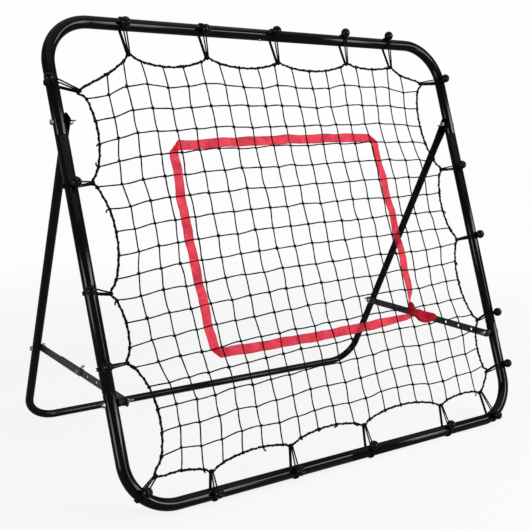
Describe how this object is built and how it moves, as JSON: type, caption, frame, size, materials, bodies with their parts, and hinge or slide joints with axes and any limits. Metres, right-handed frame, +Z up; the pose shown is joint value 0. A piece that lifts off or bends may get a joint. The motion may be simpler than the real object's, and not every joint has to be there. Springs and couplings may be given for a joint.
{
  "type": "pitch back rebounder",
  "caption": "Free-standing ball rebounder: a leaning tube frame with a net hung on ball-ended elastics, a red ribbon target square and a folding rear leg frame.",
  "frame": {"origin": "on the floor, midway between the two sides and midway between the foremost ball and the rear bar", "axes": "+X along the bottom bar to the right when seen from the front, +Y from the net to the rear leg frame, +Z up"},
  "size_m": [1.0584, 0.6994, 0.946],
  "materials": {
    "black_paint": "gloss black powder coat on steel tube",
    "strut_black": "satin black paint on flat steel bar",
    "zinc": "bright zinc plating",
    "spacer_plastic": "moulded black plastic",
    "net_cord": "knotted black polyethylene and elastic cord",
    "ball_plastic": "gloss black moulded plastic",
    "red_ribbon": "thin red woven polyester ribbon"
  },
  "bodies": {
    "front_frame": {"corner_tube_top_left": "black_paint", "corner_tube_bottom_left": "black_paint", "side_tube_left": "black_paint", "pivot_bolt_left": "zinc", "strut_front_bolt_left": "zinc", "strut_spacer_left": "spacer_plastic", "corner_tube_top_right": "black_paint", "corner_tube_bottom_right": "black_paint", "side_tube_right": "black_paint", "pivot_bolt_right": "zinc", "strut_front_bolt_right": "zinc", "strut_spacer_right": "spacer_plastic", "net": "net_cord", "target_ribbon": "red_ribbon", "bungee_top_1": "ball_plastic", "bungee_top_2": "ball_plastic", "bungee_top_3": "ball_plastic", "bungee_top_4": "ball_plastic", "bungee_top_5": "ball_plastic", "bungee_right_1": "ball_plastic", "bungee_right_2": "ball_plastic", "bungee_right_3": "ball_plastic", "bungee_right_4": "ball_plastic", "bungee_right_5": "ball_plastic", "bungee_bottom_1": "ball_plastic", "bungee_bottom_2": "ball_plastic", "bungee_bottom_3": "ball_plastic", "bungee_bottom_4": "ball_plastic", "bungee_bottom_5": "ball_plastic", "bungee_bottom_6": "ball_plastic", "bungee_left_1": "ball_plastic", "bungee_left_2": "ball_plastic", "bungee_left_3": "ball_plastic", "bungee_left_4": "ball_plastic"},
    "rear_frame": {"rear_leg_left": "black_paint", "rear_leg_right": "black_paint", "strut_rear_bolt_left": "zinc", "strut_rear_bolt_right": "zinc"},
    "front_bar_left": {"strut_front_bar_left": "strut_black", "knee_bolt_tip_left": "zinc"},
    "rear_bar_left": {"strut_rear_bar_left": "strut_black", "knee_bolt_left": "zinc"},
    "pivot_nut_left": {"pivot_wing_nut_left": "zinc"},
    "strut_front_nut_left": {"strut_front_wing_nut_left": "zinc"},
    "strut_rear_nut_left": {"strut_rear_wing_nut_left": "zinc"},
    "knee_nut_left": {"knee_wing_nut_left": "zinc"},
    "front_bar_right": {"strut_front_bar_right": "strut_black", "knee_bolt_tip_right": "zinc"},
    "rear_bar_right": {"strut_rear_bar_right": "strut_black", "knee_bolt_right": "zinc"},
    "pivot_nut_right": {"pivot_wing_nut_right": "zinc"},
    "strut_front_nut_right": {"strut_front_wing_nut_right": "zinc"},
    "strut_rear_nut_right": {"strut_rear_wing_nut_right": "zinc"},
    "knee_nut_right": {"knee_wing_nut_right": "zinc"},
    "button_top": {"snap_button_top": "zinc"},
    "button_bottom": {"snap_button_bottom": "zinc"},
    "button_rear": {"snap_button_rear": "zinc"}
  },
  "joints": [
    {"name": "rear_frame_fold", "type": "hinge", "parent": "front_frame", "child": "rear_frame", "pos_m": [0, -0.04769, 0.72311], "axis": [-1, 0, 0], "range_deg": [0, 29]},
    {"name": "strut_front_fold_left", "type": "hinge", "parent": "front_frame", "child": "front_bar_left", "pos_m": [-0.508, -0.24158, 0.2127], "axis": [1, 0, 0], "range_deg": [0, 44]},
    {"name": "strut_rear_fold_left", "type": "hinge", "parent": "rear_frame", "child": "rear_bar_left", "pos_m": [-0.508, 0.2291, 0.2127], "axis": [-1, 0, 0], "range_deg": [0, 58]},
    {"name": "pivot_nut_left_turn", "type": "hinge", "parent": "front_frame", "child": "pivot_nut_left", "pos_m": [-0.508, -0.04769, 0.72311], "axis": [1, 0, 0], "range_deg": [0, 360]},
    {"name": "strut_front_nut_left_turn", "type": "hinge", "parent": "front_frame", "child": "strut_front_nut_left", "pos_m": [-0.508, -0.24158, 0.2127], "axis": [1, 0, 0], "range_deg": [0, 360]},
    {"name": "strut_rear_nut_left_turn", "type": "hinge", "parent": "rear_frame", "child": "strut_rear_nut_left", "pos_m": [-0.508, 0.2291, 0.2127], "axis": [1, 0, 0], "range_deg": [0, 360]},
    {"name": "knee_nut_left_turn", "type": "hinge", "parent": "front_bar_left", "child": "knee_nut_left", "pos_m": [-0.508, -0.00408, 0.2127], "axis": [1, 0, 0], "range_deg": [0, 360]},
    {"name": "strut_front_fold_right", "type": "hinge", "parent": "front_frame", "child": "front_bar_right", "pos_m": [0.508, -0.24158, 0.2127], "axis": [1, 0, 0], "range_deg": [0, 44]},
    {"name": "strut_rear_fold_right", "type": "hinge", "parent": "rear_frame", "child": "rear_bar_right", "pos_m": [0.508, 0.2291, 0.2127], "axis": [-1, 0, 0], "range_deg": [0, 58]},
    {"name": "pivot_nut_right_turn", "type": "hinge", "parent": "front_frame", "child": "pivot_nut_right", "pos_m": [0.508, -0.04769, 0.72311], "axis": [-1, 0, 0], "range_deg": [0, 360]},
    {"name": "strut_front_nut_right_turn", "type": "hinge", "parent": "front_frame", "child": "strut_front_nut_right", "pos_m": [0.508, -0.24158, 0.2127], "axis": [-1, 0, 0], "range_deg": [0, 360]},
    {"name": "strut_rear_nut_right_turn", "type": "hinge", "parent": "rear_frame", "child": "strut_rear_nut_right", "pos_m": [0.508, 0.2291, 0.2127], "axis": [-1, 0, 0], "range_deg": [0, 360]},
    {"name": "knee_nut_right_turn", "type": "hinge", "parent": "front_bar_right", "child": "knee_nut_right", "pos_m": [0.508, -0.00408, 0.2127], "axis": [-1, 0, 0], "range_deg": [0, 360]},
    {"name": "button_top_press", "type": "slide", "parent": "front_frame", "child": "button_top", "axis": [0, -0.3551, -0.9348], "range_m": [-0.0032, 0], "stiffness_N_per_m": 1500},
    {"name": "button_bottom_press", "type": "slide", "parent": "front_frame", "child": "button_bottom", "axis": [0, 0.9348, -0.3551], "range_m": [-0.0032, 0], "stiffness_N_per_m": 1500},
    {"name": "button_rear_press", "type": "slide", "parent": "rear_frame", "child": "button_rear", "axis": [0, 0.8791, 0.4767], "range_m": [-0.0032, 0], "stiffness_N_per_m": 1500}
  ],
  "couplings": [
    {"joint": "strut_front_fold_left", "follows": "rear_frame_fold", "ratio": 1.4885},
    {"joint": "strut_rear_fold_left", "follows": "rear_frame_fold", "ratio": 1.9738},
    {"joint": "strut_front_fold_right", "follows": "rear_frame_fold", "ratio": 1.4885},
    {"joint": "strut_rear_fold_right", "follows": "rear_frame_fold", "ratio": 1.9738}
  ]
}
